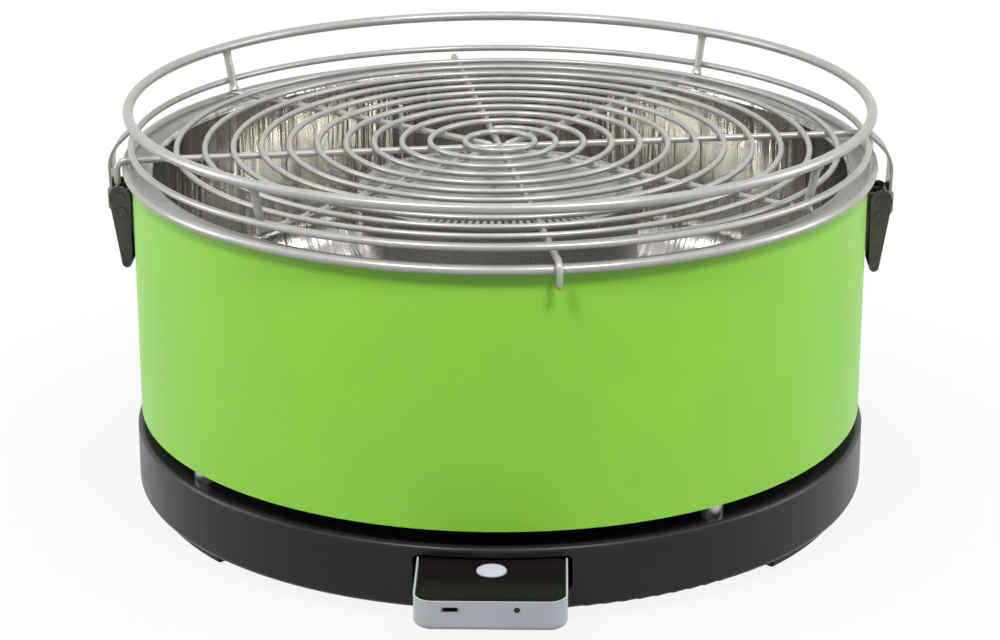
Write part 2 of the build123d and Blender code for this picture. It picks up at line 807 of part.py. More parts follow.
with BuildPart() as bracket_rivets:
    for side, angle in latch_angles:
        outward = radial_plane(angle).x_dir
        for height in rivet_heights:
            root = outward * (drum_inner - rivet_head_height) + Vector(0, 0, height)
            with BuildSketch(Plane(origin=root - outward * screw_gap, z_dir=outward)):
                Circle(rivet_head)
            extrude(amount=rivet_head_height)
            with BuildSketch(Plane(origin=root, z_dir=outward)):
                Circle(rivet_radius)
            extrude(amount=plate_outer - drum_inner + 2 * rivet_head_height)
            with BuildSketch(Plane(origin=outward * plate_outer + Vector(0, 0, height), z_dir=outward)):
                Circle(rivet_head)
            extrude(amount=rivet_head_height)
bracket_rivets.part.label = "bracket_rivets"
export_step(bracket_rivets.part, "parts/bracket_rivets.step")

for side, angle in latch_angles:
    upright = radial_plane(angle)

    with BuildPart() as bracket:
        with BuildSketch(upright):
            with Locations(((plate_inner + plate_outer) / 2, (bracket_top + bracket_bottom) / 2)):
                Rectangle(bracket_sheet, bracket_height)
        extrude(amount=bracket_half, both=True)
        for face in (1, -1):
            with BuildSketch(upright.offset(face * ear_inside)):
                with Locations((pivot_radius, pivot_height)):
                    Circle(ear_head)
                with Locations(((plate_inner + plate_outer) / 2, pivot_height)):
                    Rectangle(bracket_sheet, 2 * ear_head)
                make_hull()
                with Locations((pivot_radius, pivot_height)):
                    Circle(pin_hole, mode=Mode.SUBTRACT)
            extrude(amount=face * bracket_sheet)
        with BuildSketch(Plane(origin=upright.x_dir * plate_inner, x_dir=-upright.z_dir, z_dir=upright.x_dir)):
            with Locations(*[(0, height) for height in rivet_heights]):
                Circle(rivet_hole)
        extrude(amount=bracket_sheet, mode=Mode.SUBTRACT)
    bracket.part.label = f"{side}_bracket"
    export_step(bracket.part, f"parts/{side}_bracket.step")

    with BuildPart() as pivot_pin:
        with BuildSketch(upright):
            with Locations((pivot_radius, pivot_height)):
                Circle(latch_pin)
        extrude(amount=pin_half, both=True)
        for face in (1, -1):
            with BuildSketch(upright.offset(face * (cheek_outside + running_gap))):
                with Locations((pivot_radius, pivot_height)):
                    Circle(pin_head)
            extrude(amount=face * (pin_head_height - running_gap))
    pivot_pin.part.label = f"{side}_pivot_pin"
    export_step(pivot_pin.part, f"parts/{side}_pivot_pin.step")

    with BuildPart() as strap_pin:
        with BuildSketch(upright):
            with Locations((hook_pin_radius, hook_pin_height)):
                Circle(latch_pin)
        extrude(amount=pin_half, both=True)
        for face in (1, -1):
            with BuildSketch(upright.offset(face * (cheek_outside + running_gap))):
                with Locations((hook_pin_radius, hook_pin_height)):
                    Circle(pin_head)
            extrude(amount=face * (pin_head_height - running_gap))
    strap_pin.part.label = f"{side}_strap_pin"
    export_step(strap_pin.part, f"parts/{side}_strap_pin.step")

    with BuildPart() as lever:
        with BuildSketch(upright):
            with Locations((pivot_radius, pivot_height)):
                Circle(lever_head)
            with Locations((tip_radius, tip_height)):
                Circle(lever_tip)
            make_hull()
        extrude(amount=cheek_outside, both=True)
        with BuildSketch(upright):
            with Locations((pivot_radius, pivot_height), (drum_radius - pivot_out, pivot_height)):
                Circle(lever_head - cheek_sheet)
            with Locations((tip_radius, tip_height), (drum_radius - pivot_out, tip_height)):
                Circle(lever_tip - cheek_sheet)
            make_hull()
        extrude(amount=cheek_inside, both=True, mode=Mode.SUBTRACT)
        with BuildSketch(upright):
            with Locations((pivot_radius, grip_top)):
                Rectangle(4 * lever_head, 2 * lever_length, align=(Align.CENTER, Align.MIN))
        extrude(amount=cheek_inside, both=True, mode=Mode.SUBTRACT)
        with BuildSketch(upright):
            with Locations((pivot_radius, pivot_height), (hook_pin_radius, hook_pin_height)):
                Circle(pin_hole)
        extrude(amount=pin_half, both=True, mode=Mode.SUBTRACT)
    lever.part.label = f"{side}_lever"
    export_step(lever.part, f"parts/{side}_lever.step")

    with BuildPart() as strap:
        for face in (1, -1):
            with BuildSketch(upright.offset(face * arm_inside)):
                with Locations((hook_pin_radius, hook_pin_height)):
                    Circle(strap_boss)
                with Locations((knee_radius, knee_height)):
                    Circle(strap_arm)
                make_hull()
            extrude(amount=face * arm_sheet)
            with BuildSketch(upright.offset(face * arm_inside)):
                with Locations((knee_radius, knee_height), (knee_radius, band_height)):
                    Circle(strap_arm)
                make_hull()
            extrude(amount=face * arm_sheet)
        with BuildSketch(upright):
            with BuildLine():
                FilletPolyline(
                    (knee_radius, band_height),
                    (bulge_radius, bulge_height),
                    touch_point,
                    radius=strap_bulge_bend,
                )
                CenterArc(
                    (outer_ring_radius, ring_middle),
                    hook_arc,
                    touch_angle,
                    strap_tip_angle - touch_angle,
                )
            trace(line_width=strap_sheet)
        extrude(amount=arm_outside, both=True)
        with BuildSketch(upright):
            with Locations((hook_pin_radius, hook_pin_height)):
                Circle(pin_hole)
        extrude(amount=pin_half, both=True, mode=Mode.SUBTRACT)
    strap.part.label = f"{side}_strap"
    export_step(strap.part, f"parts/{side}_strap.step")

# Power pack: tray, cover, button and what is inside
pack_middle = (pack_front + pack_rear) / 2
pack_floor_top = pack_bottom + pack_wall
cover_bottom = pack_top - cover_sheet
button_middle = pack_front + button_back
flange_top = cover_bottom - drop_gap
flange_bottom = flange_top - button_flange_sheet
switch_top = flange_bottom - button_travel - seat_gap
board_top = switch_top - switch_height
board_bottom = board_top - board_sheet
port_middle = board_top + port_height / 2
board_front = pack_front + pack_wall + drop_gap
cell_front = board_front + board_length + drop_gap
cavity_width = pack_width - 2 * pack_wall
cavity_length = pack_length - 2 * pack_wall
rebate_width = pack_width - 2 * pack_rim
rebate_length = pack_length - 2 * pack_rim
rebate_corner = pack_corner - pack_rim
boss_places = [
    (x * (cavity_width / 2 - pack_boss_inset), pack_middle + y * (cavity_length / 2 - pack_boss_inset))
    for x in (1, -1)
    for y in (1, -1)
]
contact_places = [(x * contact_place, (pack_floor_top + cover_bottom) / 2) for x in (1, -1)]

with BuildPart() as module_tray:
    with BuildSketch(Plane.XY.offset(pack_bottom)):
        with Locations((0, pack_middle)):
            RectangleRounded(pack_width, pack_length, pack_corner)
    extrude(amount=pack_height)
    fillet(module_tray.faces().sort_by(Axis.Z)[0].edges(), pack_round)
    with BuildSketch(Plane.XY.offset(pack_floor_top)):
        with Locations((0, pack_middle)):
            RectangleRounded(cavity_width, cavity_length, pack_corner - pack_wall)
    extrude(amount=pack_height, mode=Mode.SUBTRACT)
    with BuildSketch(Plane.XY.offset(cover_bottom)):
        with Locations((0, pack_middle)):
            RectangleRounded(rebate_width, rebate_length, rebate_corner)
    extrude(amount=cover_sheet, mode=Mode.SUBTRACT)
    with BuildSketch(Plane.XY.offset(pack_floor_top)):
        with Locations(*boss_places):
            Circle(pack_boss)
    extrude(amount=cover_bottom - pack_floor_top)
    with BuildSketch(Plane.XY.offset(pack_bottom)):
        with Locations(*boss_places):
            Circle(pack_screw_head + screw_gap)
    extrude(amount=pack_screw_head_height + screw_gap, mode=Mode.SUBTRACT)
    with BuildSketch(Plane.XY.offset(pack_bottom)):
        with Locations(*boss_places):
            Circle(pack_screw_radius + screw_gap / 2)
    extrude(amount=pack_height, mode=Mode.SUBTRACT)
    with BuildSketch(Plane.XZ.offset(-pack_front)):
        with Locations((port_place, port_middle)):
            RectangleRounded(port_width + 2 * screw_gap, port_height + 2 * screw_gap, port_corner + screw_gap)
        with Locations((led_place, port_middle)):
            Circle(led_radius + screw_gap)
    extrude(amount=-pack_wall, mode=Mode.SUBTRACT)
    with BuildSketch(Plane.XZ.offset(-pack_rear)):
        with Locations(*contact_places):
            Rectangle(contact_width + 2 * screw_gap, contact_height + 2 * screw_gap)
    extrude(amount=pack_wall, mode=Mode.SUBTRACT)
module_tray.part.label = "module_tray"
export_step(module_tray.part, "parts/module_tray.step")

with BuildPart() as module_cover:
    with BuildSketch(Plane.XY.offset(cover_bottom)):
        with Locations((0, pack_middle)):
            RectangleRounded(
                rebate_width - 2 * screw_gap,
                rebate_length - 2 * screw_gap,
                rebate_corner - screw_gap,
            )
        with Locations((0, button_middle)):
            Circle(button_radius + seat_gap, mode=Mode.SUBTRACT)
        with Locations(*boss_places):
            Circle(pack_screw_radius + screw_gap / 2, mode=Mode.SUBTRACT)
    extrude(amount=cover_sheet)
    with BuildSketch(Plane.XY.offset(pack_top)):
        with Locations(*boss_places):
            Circle(pack_screw_radius + screw_gap / 2)
    extrude(amount=-cover_sheet / 2)
module_cover.part.label = "module_cover"
export_step(module_cover.part, "parts/module_cover.step")

with BuildPart() as module_screws:
    with BuildSketch(Plane.XY.offset(pack_bottom + screw_gap)):
        with Locations(*boss_places):
            Circle(pack_screw_head)
    extrude(amount=pack_screw_head_height)
    with BuildSketch(Plane.XY.offset(pack_bottom + screw_gap)):
        with Locations(*boss_places):
            Circle(pack_screw_radius)
    extrude(amount=pack_screw_length)
module_screws.part.label = "module_screws"
export_step(module_screws.part, "parts/module_screws.step")

with BuildPart() as power_button:
    with BuildSketch(Plane.XY.offset(flange_bottom)):
        with Locations((0, button_middle)):
            Circle(button_radius)
    extrude(amount=pack_top + button_proud - flange_bottom)
    fillet(power_button.edges().group_by(Axis.Z)[-1], button_proud)
    with BuildSketch(Plane.XY.offset(flange_bottom)):
        with Locations((0, button_middle)):
            Circle(button_radius + button_flange)
    extrude(amount=button_flange_sheet)
power_button.part.label = "power_button"
export_step(power_button.part, "parts/power_button.step")

with BuildPart() as circuit_board:
    with BuildSketch(Plane.XY.offset(board_bottom)):
        with Locations((0, board_front)):
            Rectangle(board_width, board_length, align=(Align.CENTER, Align.MIN))
        with Locations(*boss_places):
            Circle(pack_boss + drop_gap, mode=Mode.SUBTRACT)
    extrude(amount=board_sheet)
circuit_board.part.label = "circuit_board"
export_step(circuit_board.part, "parts/circuit_board.step")

with BuildPart() as board_standoffs:
    with BuildSketch(Plane.XY.offset(pack_floor_top)):
        with Locations((0, board_front + board_length / 2)):
            with GridLocations(board_width / 2, board_length / 2, 2, 2):
                Circle(pack_boss)
    extrude(amount=board_bottom - pack_floor_top)
board_standoffs.part.label = "board_standoffs"
export_step(board_standoffs.part, "parts/board_standoffs.step")

with BuildPart() as button_switch:
    with BuildSketch(Plane.XY.offset(board_top)):
        with Locations((0, button_middle)):
            RectangleRounded(switch_width, switch_width, switch_height / 2)
    extrude(amount=switch_height)
button_switch.part.label = "button_switch"
export_step(button_switch.part, "parts/button_switch.step")

with BuildPart() as usb_port:
    with BuildSketch(Plane.XZ.offset(-(pack_front + drop_gap))):
        with Locations((port_place, port_middle)):
            RectangleRounded(port_width, port_height, port_corner)
            RectangleRounded(
                port_width - 2 * port_sheet,
                port_height - 2 * port_sheet,
                port_corner - port_sheet,
                mode=Mode.SUBTRACT,
            )
    extrude(amount=-port_depth)
    with BuildSketch(Plane.XZ.offset(-(pack_front + drop_gap + port_depth))):
        with Locations((port_place, port_middle)):
            RectangleRounded(port_width, port_height, port_corner)
    extrude(amount=-port_sheet)
usb_port.part.label = "usb_port"
export_step(usb_port.part, "parts/usb_port.step")

with BuildPart() as status_led:
    with BuildSketch(Plane.XZ.offset(-(pack_front + drop_gap))):
        with Locations((led_place, port_middle)):
            Circle(led_radius)
    extrude(amount=-led_length)
status_led.part.label = "status_led"
export_step(status_led.part, "parts/status_led.step")

with BuildPart() as battery_cell:
    with BuildSketch(Plane.XY.offset(pack_floor_top)):
        with Locations((0, cell_front)):
            Rectangle(cell_width, cell_length, align=(Align.CENTER, Align.MIN))
    extrude(amount=cell_height)
    fillet(battery_cell.edges().filter_by(Axis.Y), cell_height / 4)
battery_cell.part.label = "battery_cell"
export_step(battery_cell.part, "parts/battery_cell.step")

with BuildPart() as module_contacts:
    with BuildSketch(Plane.XZ.offset(-(pack_rear + contact_proud))):
        with Locations(*contact_places):
            Rectangle(contact_width, contact_height)
    extrude(amount=pack_wall + contact_proud)
module_contacts.part.label = "module_contacts"
export_step(module_contacts.part, "parts/module_contacts.step")

# Contact block in the base, whose two spring pins meet the pack's contacts
block_front = pack_rear + contact_proud + 3 * seat_gap

with BuildPart() as power_contacts:
    with BuildSketch(Plane.XY.offset(floor_top)):
        with Locations((0, block_front)):
            Rectangle(block_width, block_depth, align=(Align.CENTER, Align.MIN))
    extrude(amount=block_height)
    with BuildSketch(Plane.XZ.offset(-block_front)):
        with Locations(*contact_places):
            Circle(spring_radius)
    extrude(amount=2 * seat_gap)
power_contacts.part.label = "power_contacts"
export_step(power_contacts.part, "parts/power_contacts.step")
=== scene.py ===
"""Looks of the table-top charcoal grill: finishes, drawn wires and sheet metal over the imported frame.

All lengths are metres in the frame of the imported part: Z is up and the power pack faces -Y.
"""
import json
import math

import bpy
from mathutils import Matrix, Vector


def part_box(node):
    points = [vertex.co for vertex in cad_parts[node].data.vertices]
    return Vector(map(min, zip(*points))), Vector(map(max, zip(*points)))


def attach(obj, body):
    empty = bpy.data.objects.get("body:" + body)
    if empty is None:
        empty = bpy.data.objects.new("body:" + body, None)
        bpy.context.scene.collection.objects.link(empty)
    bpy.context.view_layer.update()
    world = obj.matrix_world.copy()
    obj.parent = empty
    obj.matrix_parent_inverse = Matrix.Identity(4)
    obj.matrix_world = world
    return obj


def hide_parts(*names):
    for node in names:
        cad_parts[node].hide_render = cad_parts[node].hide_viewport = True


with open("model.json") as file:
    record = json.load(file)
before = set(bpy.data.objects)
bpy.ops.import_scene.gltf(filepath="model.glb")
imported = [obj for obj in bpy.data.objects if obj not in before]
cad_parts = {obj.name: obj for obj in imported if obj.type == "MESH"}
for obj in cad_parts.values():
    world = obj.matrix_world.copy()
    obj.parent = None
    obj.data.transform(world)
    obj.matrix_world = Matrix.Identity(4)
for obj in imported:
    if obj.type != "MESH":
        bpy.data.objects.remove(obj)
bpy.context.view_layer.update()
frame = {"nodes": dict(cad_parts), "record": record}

# Camera, found by fitting the rings and the drum's edges to the photograph of 1000 by 640 pixels
photo_width = 1000
camera_azimuth = math.radians(1.1)
camera_elevation = math.radians(19.3)
camera_distance = 1.3027
camera_target = Vector((0, 0, 0.0754))
focal_pixels = 2830
sensor_width = 36.0

# Sizes of the bowl that the frame doesn't state by itself
sheet = 0.001
bead_wire = 0.002
bowl_gap = 0.0095
bowl_bend = 0.025
rim_bend = 0.003
collar_radius = 0.0365
collar_height = 0.008
collar_bend = 0.003
round_segments = 320

# Sizes of the grate
rod_wire = 0.0015
hook_gap = 0.0007
hook_bend = 0.0042
hook_length = 0.0065
spoke_step = math.radians(45)
spoke_gap = 2.2
grate_turn = math.radians(9)
rod_overhang = 0.001
post_wire = 0.0018
post_end_share = 0.7
flare_length = 0.003
flare_share = 0.45
weld_sink = 0.0003
weld_size = (0.0017, 0.0017, 0.0008)
ring_weld_size = (0.0016, 0.0016, 0.0013)
spiral_start = 0.022
spiral_pitch = 0.0126
spiral_half_turns = 20
spiral_overhang = 0.001
spiral_least_steps = 24
spiral_chord = 0.006
angle_slack = 1e-6

# Sizes of the basket and its lid
basket_rim = 0.004
basket_holes = 340
ledge_width = 0.003
comb_reach = 0.011
comb_margin = 0.004
comb_teeth = 110
seam_start = math.radians(180)
seam_end = math.radians(216)

# Sizes of the power pack, and of the latches' soft edges
pack_corner = 0.0071
least_corner = 0.0004
pillow_width = 0.004
pillow_step = 0.0003
pillow_rows = 8
cover_rows = 5
button_hole = 0.0065
tongue_side = 0.0009
tongue_front = 0.0006
tongue_back = 0.0002
tongue_gap = 0.0008
tongue_corner = 0.0005
tongue_nose = ((0.0004, 0), (0.0001, 0.0002), (0, 0.0006))
merge_reach = 0.00001
edge_bevel = 0.0003
edge_angle = math.radians(40)

# Values that the finishes share
# Painted shade: the dark colour given to punched holes and slots in place of the shaded inside seen through
# them
painted_hole_shade = (0.02, 0.019, 0.017)
cloud_scale = 35
gloss_swing = 0.05
peel_strength = 0.35
stain_scale = 60
grain_strength = 0.3
hole_share = 0.36
hole_edge = 0.05
hole_strength = 0.6
tooth_edge = 0.2
tooth_strength = 0.5
tooth_depth = 0.0005
lid_stain_scale = 45
streak_rise = 10
smear_scale = 22
ripple_depth = 0.0009

# Floor and lamps
floor_reach = 20.0
floor_tone = 0.35
floor_roughness = 0.9
floor_shine = 0.1
near_glow = 0.9
near_reach = 0.17
far_reach = 0.34
ambient_level = 0.18
key_place = Vector((0.5, -0.86, 1.38))
side_place = Vector((1.5, 0.1, 0.6))


# Finishes

def new_finish(name, colour, roughness, metallic=0.0):
    """A principled material with plain values; returns the material, its node tree and its shader."""
    material = bpy.data.materials.new(name)
    material.use_nodes = True
    shader = material.node_tree.nodes["Principled BSDF"]
    shader.inputs["Base Color"].default_value = (*colour, 1)
    shader.inputs["Roughness"].default_value = roughness
    shader.inputs["Metallic"].default_value = metallic
    return material, material.node_tree, shader


def math_node(tree, operation, *values):
    """Result of a math node; each value is a number or another node's output."""
    node = tree.nodes.new("ShaderNodeMath")
    node.operation = operation
    for socket, value in zip(node.inputs, values):
        if isinstance(value, (int, float)):
            socket.default_value = value
        else:
            tree.links.new(value, socket)
    return node.outputs[0]


def vector_node(tree, operation, *points):
    """A vector math node over other nodes' outputs."""
    node = tree.nodes.new("ShaderNodeVectorMath")
    node.operation = operation
    for socket, point in zip(node.inputs, points):
        tree.links.new(point, socket)
    return node


def object_points(tree, stretch=(1, 1, 1)):
    """Points of the surface in the object's own metres, scaled along each axis."""
    place = tree.nodes.new("ShaderNodeTexCoord")
    mapping = tree.nodes.new("ShaderNodeMapping")
    mapping.inputs["Scale"].default_value = stretch
    tree.links.new(place.outputs["Object"], mapping.inputs["Vector"])
    return mapping.outputs["Vector"]


def split_points(tree):
    """X, Y and Z of the surface in the object's own metres."""
    place = tree.nodes.new("ShaderNodeTexCoord")
    split = tree.nodes.new("ShaderNodeSeparateXYZ")
    tree.links.new(place.outputs["Object"], split.inputs[0])
    return split.outputs["X"], split.outputs["Y"], split.outputs["Z"]


def join_points(tree, **values):
    """Points with these outputs as their X, Y or Z, and 0 for an axis that isn't given."""
    node = tree.nodes.new("ShaderNodeCombineXYZ")
    for axis, value in values.items():
        tree.links.new(value, node.inputs[axis])
    return node.outputs[0]


def round_points(tree, around, upward):
    """Points round the Z axis: the direction from the axis times around, and the height times upward."""
    x, y, z = split_points(tree)
    unit = vector_node(tree, "NORMALIZE", join_points(tree, X=x, Y=y))
    raised = join_points(tree, Z=math_node(tree, "MULTIPLY", z, upward / around))
    total = vector_node(tree, "ADD", unit.outputs[0], raised)
    scaled = vector_node(tree, "SCALE", total.outputs[0])
    scaled.inputs["Scale"].default_value = around
    return scaled.outputs[0]


def noise(tree, points, scale, detail):
    """Value of a noise pattern at these points."""
    pattern = tree.nodes.new("ShaderNodeTexNoise")
    pattern.inputs["Scale"].default_value = scale
    pattern.inputs["Detail"].default_value = detail
    tree.links.new(points, pattern.inputs["Vector"])
    return pattern.outputs["Fac"]


def spread(tree, value, low, high, start=0.3, end=0.7):
    """Maps a value between start and end to the span from low to high; noise lies mostly in 0.3 to 0.7."""
    span = tree.nodes.new("ShaderNodeMapRange")
    span.inputs["From Min"].default_value = start
    span.inputs["From Max"].default_value = end
    span.inputs["To Min"].default_value = low
    span.inputs["To Max"].default_value = high
    tree.links.new(value, span.inputs["Value"])
    return span.outputs["Result"]


def tint(tree, shader, factor, first, second):
    """Colours the shader between two tones."""
    mix = tree.nodes.new("ShaderNodeMix")
    mix.data_type = "RGBA"
    mix.inputs[6].default_value = (*first, 1)
    mix.inputs[7].default_value = (*second, 1)
    tree.links.new(factor, mix.inputs[0])
    tree.links.new(mix.outputs[2], shader.inputs["Base Color"])


def bump(tree, shader, height, strength, depth):
    """Roughens the shader's normals by a height pattern."""
    node = tree.nodes.new("ShaderNodeBump")
    node.inputs["Strength"].default_value = strength
    node.inputs["Distance"].default_value = depth
    tree.links.new(height, node.inputs["Height"])
    tree.links.new(node.outputs["Normal"], shader.inputs["Normal"])


def shaded(colour, share):
    """The colour times a share."""
    return tuple(c * share for c in colour)


def paint_finish(name, colour, roughness, swing, peel, peel_depth, shine=0.5):
    """Sprayed or moulded surface: faint clouds of tone, uneven gloss and an orange-peel skin."""
    material, tree, shader = new_finish(name, colour, roughness)
    shader.inputs["Specular IOR Level"].default_value = shine
    clouds = noise(tree, object_points(tree), cloud_scale, 5)
    tint(tree, shader, spread(tree, clouds, 0, 1), shaded(colour, 1 - swing), shaded(colour, 1 + swing))
    skin_height = noise(tree, object_points(tree), peel, 2)
    gloss = spread(tree, clouds, roughness - gloss_swing, roughness + gloss_swing)
    tree.links.new(gloss, shader.inputs["Roughness"])
    bump(tree, shader, skin_height, peel_strength, peel_depth)
    return material


def metal_finish(
    name, colour, roughness, swing, grain=(1, 1, 1), grain_scale=160, grain_depth=0.000004, metallic=1.0
):
    """Bare metal: drawn or rolled grain, uneven gloss and faint stains."""
    material, tree, shader = new_finish(name, colour, roughness, metallic)
    stains = noise(tree, object_points(tree), stain_scale, 4)
    lines = noise(tree, object_points(tree, grain), grain_scale, 3)
    tint(tree, shader, spread(tree, stains, 0, 1), shaded(colour, 1 - swing), shaded(colour, 1 + swing))
    gloss = spread(tree, lines, roughness * 0.85, roughness * 1.15)
    tree.links.new(gloss, shader.inputs["Roughness"])
    bump(tree, shader, lines, grain_strength, grain_depth)
    return material


def punched_finish(name, colour, roughness, radius, columns):
    """Sheet steel round the Z axis with staggered rows of small punched holes, painted dark as the shade seen
    through them.
    """
    material, tree, shader = new_finish(name, colour, roughness, metallic=1.0)
    pitch = 2 * math.pi * radius / columns / math.sqrt(2)
    x, y, z = split_points(tree)
    around = math_node(tree, "MULTIPLY", math_node(tree, "ARCTAN2", y, x), radius)
    staggered = tree.nodes.new("ShaderNodeMapping")
    staggered.inputs["Rotation"].default_value = (0, 0, math.radians(45))
    tree.links.new(join_points(tree, X=around, Y=z), staggered.inputs["Vector"])
    cells = tree.nodes.new("ShaderNodeTexVoronoi")
    cells.voronoi_dimensions = "2D"
    cells.inputs["Randomness"].default_value = 0.0
    cells.inputs["Scale"].default_value = 1 / pitch
    tree.links.new(staggered.outputs["Vector"], cells.inputs["Vector"])
    distance = cells.outputs["Distance"]
    sheet_share = spread(tree, distance, 0, 1, hole_share - hole_edge, hole_share + hole_edge)
    # Painted shade: the holes are dark colour on the sheet, not openings
    tint(tree, shader, sheet_share, painted_hole_shade, colour)
    bump(tree, shader, sheet_share, hole_strength, pitch / 6)
    return material


def comb_finish(name, colour, roughness, inner, outer, teeth):
    """Sheet steel with a ring of short slots round the Z axis between two radii, painted dark as the shade
    inside them.
    """
    material, tree, shader = new_finish(name, colour, roughness, metallic=0.7)
    x, y, _ = split_points(tree)
    turn = math_node(tree, "ARCTAN2", y, x)
    tooth = math_node(tree, "SINE", math_node(tree, "MULTIPLY", turn, teeth))
    reach = vector_node(tree, "LENGTH", join_points(tree, X=x, Y=y)).outputs["Value"]
    band = math_node(tree, "COMPARE", reach, (inner + outer) / 2, (outer - inner) / 2)
    slot = math_node(tree, "MULTIPLY", spread(tree, tooth, 0, 1, 0, tooth_edge), band)
    # Painted shade: the slots are dark colour in place of the shade inside them
    tint(tree, shader, slot, colour, painted_hole_shade)
    stains = noise(tree, object_points(tree), lid_stain_scale, 4)
    gloss = spread(tree, stains, roughness * 0.7, roughness * 1.3)
    tree.links.new(gloss, shader.inputs["Roughness"])
    bump(tree, shader, spread(tree, slot, 1, 0, 0, 1), tooth_strength, tooth_depth)
    return material


def spun_finish(name, colour, roughness, streaks, swing, ripple):
    """Polished pressed sheet: a wavy mirror with streaks that run up its wall, and smears that blur it. The
    streaks are real ripple in the bump and painted reflection in the colour.
    """
    material, tree, shader = new_finish(name, colour, roughness, metallic=1.0)
    streaks_reflection_and_ripple = noise(tree, round_points(tree, streaks, streak_rise), 1.0, 3)
    smears = noise(tree, object_points(tree), smear_scale, 4)
    # Painted reflection: the streaks darken and lighten the colour as mirrored surroundings would
    tint(tree, shader, spread(tree, streaks_reflection_and_ripple, 0, 1), shaded(colour, 1 - swing), shaded(colour, 1 + swing / 2))
    gloss = spread(tree, smears, roughness * 0.5, roughness * 1.6)
    tree.links.new(gloss, shader.inputs["Roughness"])
    bump(tree, shader, streaks_reflection_and_ripple, ripple, ripple_depth)
    return material


finishes = {
    "foot_rubber": paint_finish(
        "foot_rubber", (0.014, 0.014, 0.014), roughness=0.75, swing=0.15, peel=1500, peel_depth=0.00006
    ),
    "base_plastic": paint_finish(
        "base_plastic", (0.0115, 0.0126, 0.0116), roughness=0.34, swing=0.1, peel=2600, peel_depth=0.00003,
        shine=0.2,
    ),
    "fan_plastic": paint_finish(
        "fan_plastic", (0.02, 0.02, 0.022), roughness=0.4, swing=0.1, peel=2200, peel_depth=0.00003
    ),
    "fastener_steel": metal_finish("fastener_steel", (0.5, 0.5, 0.5), roughness=0.32, swing=0.1),
    "drum_paint": paint_finish(
        "drum_paint", (0.21, 0.52, 0.036), roughness=0.4, swing=0.02, peel=1300, peel_depth=0.00001, shine=0.4
    ),
    "sheet_steel": metal_finish(
        "sheet_steel", (0.62, 0.605, 0.58), roughness=0.22, swing=0.1, grain=(1, 1, 12), grain_scale=120
    ),
    # Strong painted reflection: dark and light streaks in the bowl wall's colour
    "bowl_steel": spun_finish(
        "bowl_steel", (0.6, 0.585, 0.54), roughness=0.15, streaks=34, swing=0.45, ripple=0.8
    ),
    "wire_steel": metal_finish(
        "wire_steel", (0.315, 0.308, 0.288), roughness=0.33, swing=0.05, grain_depth=0.0, metallic=0.3
    ),
    "latch_dark": metal_finish(
        "latch_dark", (0.052, 0.046, 0.04), roughness=0.38, swing=0.4, grain_scale=500, metallic=0.6
    ),
    "strap_steel": metal_finish("strap_steel", (0.26, 0.25, 0.23), roughness=0.3, swing=0.12),
    "pack_silver": paint_finish(
        "pack_silver", (0.35, 0.362, 0.4), roughness=0.38, swing=0.04, peel=2400, peel_depth=0.000015
    ),
    "pack_gloss": paint_finish(
        "pack_gloss", (0.0075, 0.0055, 0.0064), roughness=0.2, swing=0.2, peel=500, peel_depth=0.000001,
        shine=0.05,
    ),
    "button_white": paint_finish(
        "button_white", (0.38, 0.385, 0.445), roughness=0.5, swing=0.03, peel=1800, peel_depth=0.00002,
        shine=0.25,
    ),
    "board_green": paint_finish(
        "board_green", (0.015, 0.11, 0.045), roughness=0.3, swing=0.3, peel=700, peel_depth=0.00003
    ),
    "led_lens": paint_finish(
        "led_lens", (0.02, 0.02, 0.024), roughness=0.2, swing=0.2, peel=900, peel_depth=0.00001, shine=0.25
    ),
    "cell_wrap": paint_finish(
        "cell_wrap", (0.05, 0.13, 0.4), roughness=0.28, swing=0.1, peel=300, peel_depth=0.00005
    ),
    "contact_brass": metal_finish("contact_brass", (0.72, 0.55, 0.26), roughness=0.25, swing=0.12),
}

slot_of = {row["node"]: row["material_slot"] for row in frame["record"]["subparts"]}
for node, piece in frame["nodes"].items():
    piece.data.materials.clear()
    piece.data.materials.append(finishes[slot_of[node]])
lid_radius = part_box("basket_lid")[1].x
frame["nodes"]["basket_lid"].data.materials[0] = comb_finish(
    "lid_steel", (0.42, 0.41, 0.385), roughness=0.22,
    inner=lid_radius - comb_reach, outer=lid_radius - comb_margin, teeth=comb_teeth,
)


# Mesh helpers

def make_piece(name, corners, faces, body, slot, replaced=(), sharp=40):
    """A smooth mesh piece that rides a body, takes a slot's finish and stands for the replaced nodes."""
    mesh = bpy.data.meshes.new(name)
    mesh.from_pydata(corners, [], faces)
    mesh.shade_smooth()
    mesh.set_sharp_from_angle(angle=math.radians(sharp))
    mesh.materials.append(finishes[slot])
    piece = bpy.data.objects.new(name, mesh)
    bpy.context.scene.collection.objects.link(piece)
    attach(piece, body)
    if replaced:
        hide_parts(*replaced)
    return piece


def lathe(outline):
    """Corners and faces of a closed outline of (radius, height) points turned round the Z axis."""
    corners = []
    for step in range(round_segments):
        turn = 2 * math.pi * step / round_segments
        corners += [(r * math.cos(turn), r * math.sin(turn), z) for r, z in outline]
    count = len(outline)
    faces = []
    for step in range(round_segments):
        here, there = step * count, (step + 1) % round_segments * count
        for k in range(count):
            n = (k + 1) % count
            faces.append((here + k, there + k, there + n, here + n))
    return corners, faces


def arc(centre, radius, start, end, steps):
    """Points on an arc in a plane, from one angle to another in degrees, both ends included."""
    turns = [math.radians(start + (end - start) * k / steps) for k in range(steps + 1)]
    return [(centre[0] + radius * math.cos(t), centre[1] + radius * math.sin(t)) for t in turns]


def thicken(line, half):
    """Closed outline of a sheet whose middle runs along the line."""
    left, right = [], []
    for k, point in enumerate(line):
        before = Vector(line[max(k - 1, 0)])
        after = Vector(line[min(k + 1, len(line) - 1)])
        along = (after - before).normalized()
        side = Vector((-along.y, along.x)) * half
        left.append(tuple(Vector(point) + side))
        right.append(tuple(Vector(point) - side))
    return left + right[::-1]


